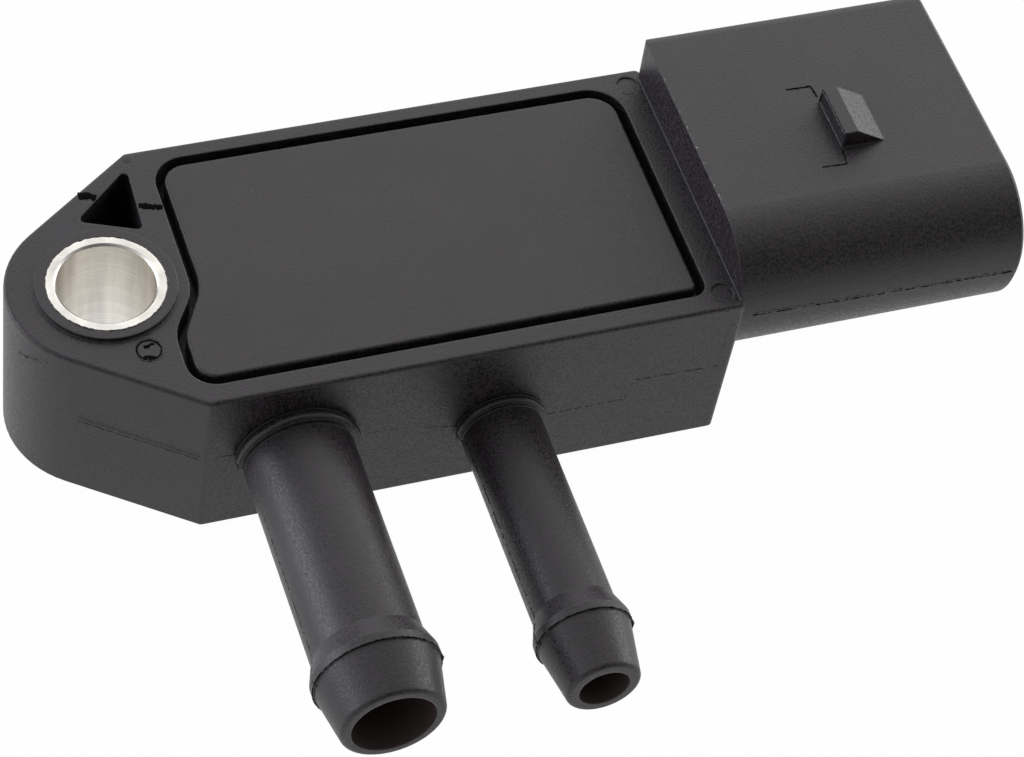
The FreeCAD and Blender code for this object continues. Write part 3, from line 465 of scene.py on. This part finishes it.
def turned_aluminium():
    material, tree, shader = new_material("turned_aluminium")
    place = object_place(tree)
    parts = tree.nodes.new("ShaderNodeSeparateXYZ")
    feed(tree, place, parts.inputs[0])
    radius = maths(tree, "SQRT", maths(
        tree, "ADD", maths(tree, "MULTIPLY", parts.outputs["X"], parts.outputs["X"]),
        maths(tree, "MULTIPLY", parts.outputs["Y"], parts.outputs["Y"])))
    rings = tree.nodes.new("ShaderNodeCombineXYZ")
    feed(tree, radius, rings.inputs["X"])
    feed(tree, parts.outputs["Z"], rings.inputs["Z"])
    lathe = noise(tree, rings.outputs[0], 1.0 / TURNING_PITCH, detail=4.0, roughness=0.7)
    lengthwise = tree.nodes.new("ShaderNodeMapping")
    lengthwise.inputs["Scale"].default_value = (1.0, 1.0, 0.1)
    feed(tree, place, lengthwise.inputs["Vector"])
    smear = noise(tree, lengthwise.outputs[0], 1.0 / (1.5 * MM), detail=4.0)
    tone = spread(tree, smear, 0.32, 0.66, 0.80, 1.14)
    upright = tree.nodes.new("ShaderNodeSeparateXYZ")
    feed(tree, tree.nodes.new("ShaderNodeNewGeometry").outputs["Normal"], upright.inputs[0])
    # faces turned upwards are darkened: painted shade on the bush's top face
    face = spread(tree, upright.outputs["Z"], 0.4, 0.8, 1.0, BUSH_TOP_PAINTED_SHADE)
    bright = tree.nodes.new("ShaderNodeVectorMath")
    bright.operation = "SCALE"
    bright.inputs[0].default_value = BUSH_COLOUR[:3]
    feed(tree, maths(tree, "MULTIPLY", tone, face), bright.inputs["Scale"])
    feed(tree, bright.outputs["Vector"], shader.inputs["Base Color"])
    shader.inputs["Metallic"].default_value = 1.0
    feed(tree, spread(tree, lathe, 0.3, 0.7, BUSH_ROUGHNESS - 0.08, BUSH_ROUGHNESS + 0.12),
         shader.inputs["Roughness"])
    edge = place_group(tree, EDGES, Radius=0.08 * MM, Spread=0.3)
    feed(tree, bump(tree, lathe, 0.008 * MM, 0.45, edge["Normal"]), shader.inputs["Normal"])
    return material


dress("bolt_bush", turned_aluminium())


# Cover
# A flat moulded lid that closes the circuit's chamber, let in flush and held by the bead.
# Its skin is a little paler and finer than the housing's.

COVER_COLOUR = (0.0202, 0.0165, 0.0185, 1.0)

dress("cover", moulded_plastic(
    "black_cover", COVER_COLOUR, HOUSING_EDGE_HIGHLIGHT_COLOUR, 0.5, 0.12 * MM, 0.15 * MM, 0.014 * MM))


# Sealing bead
# Black silicone run into the groove before the cover is pressed in. It cures smooth and dark.

def cured_silicone(name, colour, roughness):
    material, tree, shader = new_material(name)
    skin = place_group(tree, SKIN, Grain=0.5 * MM, Mottle=2.5 * MM, Fleck_Spacing=1.6 * MM)
    dusty = blend_colours(tree, maths(tree, "MULTIPLY", skin["Fleck"], 0.6), colour,
                          (0.2, 0.2, 0.2, 1.0))
    feed(tree, dusty, shader.inputs["Base Color"])
    feed(tree, spread(tree, skin["Mottle"], 0.3, 0.7, roughness - 0.08, roughness + 0.1),
         shader.inputs["Roughness"])
    feed(tree, bump(tree, skin["Mottle"], 0.05 * MM, 0.5), shader.inputs["Normal"])
    return material


dress("cover_adhesive", cured_silicone("sealing_silicone", (0.003, 0.003, 0.0032, 1.0), 0.55))


# Terminals
# Three stamped brass blades, tin plated, moulded into the wall between chamber and socket.

def drawn_metal(name, colour, roughness, grain):
    material, tree, shader = new_material(name)
    place = object_place(tree)
    stretch = tree.nodes.new("ShaderNodeMapping")
    stretch.inputs["Scale"].default_value = (0.12, 1.0, 1.0)
    feed(tree, place, stretch.inputs["Vector"])
    lines = noise(tree, stretch.outputs[0], 1.0 / grain, detail=3.0, roughness=0.6)
    blotch = noise(tree, place, 1.0 / (1.4 * MM))
    feed(tree, blend_colours(tree, spread(tree, blotch, 0.35, 0.7), colour,
                             tuple(0.82 * c for c in colour[:3]) + (1.0,)),
         shader.inputs["Base Color"])
    shader.inputs["Metallic"].default_value = 1.0
    feed(tree, spread(tree, lines, 0.3, 0.7, roughness - 0.06, roughness + 0.1),
         shader.inputs["Roughness"])
    feed(tree, bump(tree, lines, 0.005 * MM, 0.5), shader.inputs["Normal"])
    return material


tin = drawn_metal("tin_plated_brass", (0.72, 0.70, 0.64, 1.0), 0.3, 0.09 * MM)
for name in ("supply", "ground", "signal"):
    dress("terminal_" + name, tin)


# Circuit
# A ceramic plate glued into the chamber. It carries the pressure die on its glass base, the
# signal chip and four capacitors. Soft gel in a frame covers the die, the chip and their wires.

def plain_skin(name, colour, roughness, alpha=1.0):
    material, tree, shader = new_material(name)
    skin = place_group(tree, SKIN, Grain=0.12 * MM, Mottle=1.5 * MM, Fleck_Spacing=2.0 * MM)
    pale = tuple(min(1.0, 1.12 * c) for c in colour[:3]) + (1.0,)
    feed(tree, blend_colours(tree, skin["Mottle"], colour, pale), shader.inputs["Base Color"])
    shader.inputs["Alpha"].default_value = alpha
    feed(tree, spread(tree, skin["Height"], 0.3, 0.7, roughness - 0.05, roughness + 0.05),
         shader.inputs["Roughness"])
    feed(tree, bump(tree, skin["Height"], 0.004 * MM, 0.5), shader.inputs["Normal"])
    return material


dress("sensor_substrate", plain_skin("white_ceramic", (0.8, 0.79, 0.74, 1.0), 0.6))
dress("substrate_adhesive", plain_skin("grey_glue", (0.5, 0.5, 0.47, 1.0), 0.5))
dress("glass_pedestal", plain_skin("pedestal_glass", (0.75, 0.82, 0.82, 1.0), 0.1, alpha=0.5))
dress("gel_frame", plain_skin("frame_moulding", (0.7, 0.7, 0.66, 1.0), 0.5))
dress("protective_gel", plain_skin("soft_gel", (0.7, 0.72, 0.7, 1.0), 0.15, alpha=0.4))
silicon = plain_skin("silicon", (0.15, 0.16, 0.19, 1.0), 0.15)
dress("pressure_die", silicon)
dress("signal_chip", silicon)
capacitor = plain_skin("capacitor_ceramic", (0.42, 0.33, 0.22, 1.0), 0.45)
for number in range(1, 5):
    dress("chip_capacitor_%d" % number, capacitor)
bond_metal = drawn_metal("bond_aluminium", (0.85, 0.85, 0.86, 1.0), 0.25, 0.05 * MM)
for number in range(1, 5):
    dress("die_wire_%d" % number, bond_metal)
for name in ("supply", "ground", "signal"):
    dress("terminal_ribbon_" + name, bond_metal)


# Floor, light and camera
# A pale matt table under a soft white tent, seen from above the hose nipples.

FLOOR_SIZE = 4.0
FLOOR_COLOUR = (0.85, 0.85, 0.85, 1.0)
FLOOR_WHITENING = 0.985
TENT_OPENING = (0.1, -0.9, 0.42)
TENT_DARK = 0.13
TENT_LEVEL = 0.5

bpy.ops.mesh.primitive_plane_add(size=FLOOR_SIZE, location=(0, 0, -0.02 * MM))
floor = bpy.context.object
floor.name = "table_top"
material, tree, shader = new_material("pale_table")
shader.inputs["Base Color"].default_value = FLOOR_COLOUR
shader.inputs["Roughness"].default_value = 0.9
shader.inputs["Specular IOR Level"].default_value = 0.0
glow = tree.nodes.new("ShaderNodeEmission")
rays = tree.nodes.new("ShaderNodeLightPath")
mixer = tree.nodes.new("ShaderNodeMixShader")
seen = maths(tree, "MAXIMUM", rays.outputs["Is Camera Ray"], maths(
    tree, "MAXIMUM", rays.outputs["Is Glossy Ray"], rays.outputs["Is Transmission Ray"]))
feed(tree, maths(tree, "MULTIPLY", seen, FLOOR_WHITENING), mixer.inputs["Fac"])
feed(tree, shader.outputs[0], mixer.inputs[1])
feed(tree, glow.outputs[0], mixer.inputs[2])
feed(tree, mixer.outputs[0], tree.nodes["Material Output"].inputs["Surface"])
floor.data.materials.append(material)

world = bpy.data.worlds.new("tent")
bpy.context.scene.world = world
world.use_nodes = True
tree = world.node_tree
sky = tree.nodes["Background"]
sky.inputs["Color"].default_value = (1.0, 1.0, 1.0, 1.0)
rays = tree.nodes.new("ShaderNodeLightPath")
backdrop = maths(tree, "MAXIMUM", rays.outputs["Is Camera Ray"],
                 rays.outputs["Is Transmission Ray"])
towards = tree.nodes.new("ShaderNodeVectorMath")
towards.operation = "DOT_PRODUCT"
feed(tree, tree.nodes.new("ShaderNodeTexCoord").outputs["Generated"], towards.inputs[0])
towards.inputs[1].default_value = TENT_OPENING
tent = spread(tree, towards.outputs["Value"], 0.3, 0.95, 1.0, TENT_DARK)
level = spread(tree, rays.outputs["Is Glossy Ray"], 0.0, 1.0, TENT_LEVEL, 1.0)
lit = maths(tree, "MULTIPLY", tent, level)
feed(tree, maths(tree, "MAXIMUM", backdrop, lit), sky.inputs["Strength"])


def soft_box(name, place, target, width, height, power, colour=(1.0, 1.0, 1.0)):
    light = bpy.data.lights.new(name, "AREA")
    light.shape = "RECTANGLE"
    light.size, light.size_y = width, height
    light.energy = power
    light.color = colour
    lamp = bpy.data.objects.new(name, light)
    bpy.context.scene.collection.objects.link(lamp)
    lamp.location = place
    lamp.rotation_euler = (Vector(target) - Vector(place)).to_track_quat("-Z", "Y").to_euler()
    return lamp


MIDDLE = (0.028, -0.008, 0.006)
soft_box("back_light", (0.20, 0.50, 0.38), MIDDLE, 0.6, 0.4, 0.85)
soft_box("left_light", (-0.50, 0.30, 0.12), MIDDLE, 0.5, 0.3, 1.95, (0.88, 0.92, 1.0))
soft_box("right_light", (0.58, 0.20, 0.14), MIDDLE, 0.5, 0.3, 1.5)

CAMERA_AZIMUTH = -26.322
CAMERA_ELEVATION = 51.009
CAMERA_ROLL = 10.356
CAMERA_TARGET = (30.557 * MM, 0.197 * MM, -5.546 * MM)
CAMERA_DISTANCE = 254.359 * MM
CAMERA_LENS = 123.73

azimuth, elevation = math.radians(CAMERA_AZIMUTH), math.radians(CAMERA_ELEVATION)
roll = math.radians(CAMERA_ROLL)
back = Vector((math.sin(azimuth) * math.cos(elevation), -math.cos(azimuth) * math.cos(elevation),
               math.sin(elevation)))
right = (-back).cross(Vector((0, 0, 1))).normalized()
up = right.cross(-back)
camera_x = math.cos(roll) * right + math.sin(roll) * up
camera_y = -math.sin(roll) * right + math.cos(roll) * up
lens = bpy.data.cameras.new("camera")
lens.lens = CAMERA_LENS
lens.clip_start = 0.01
camera = bpy.data.objects.new("camera", lens)
bpy.context.scene.collection.objects.link(camera)
camera.matrix_world = Matrix.Translation(Vector(CAMERA_TARGET) + back * CAMERA_DISTANCE) @ Matrix((
    camera_x, camera_y, back)).transposed().to_4x4()
bpy.context.scene.camera = camera
bpy.context.scene.view_settings.view_transform = "Standard"
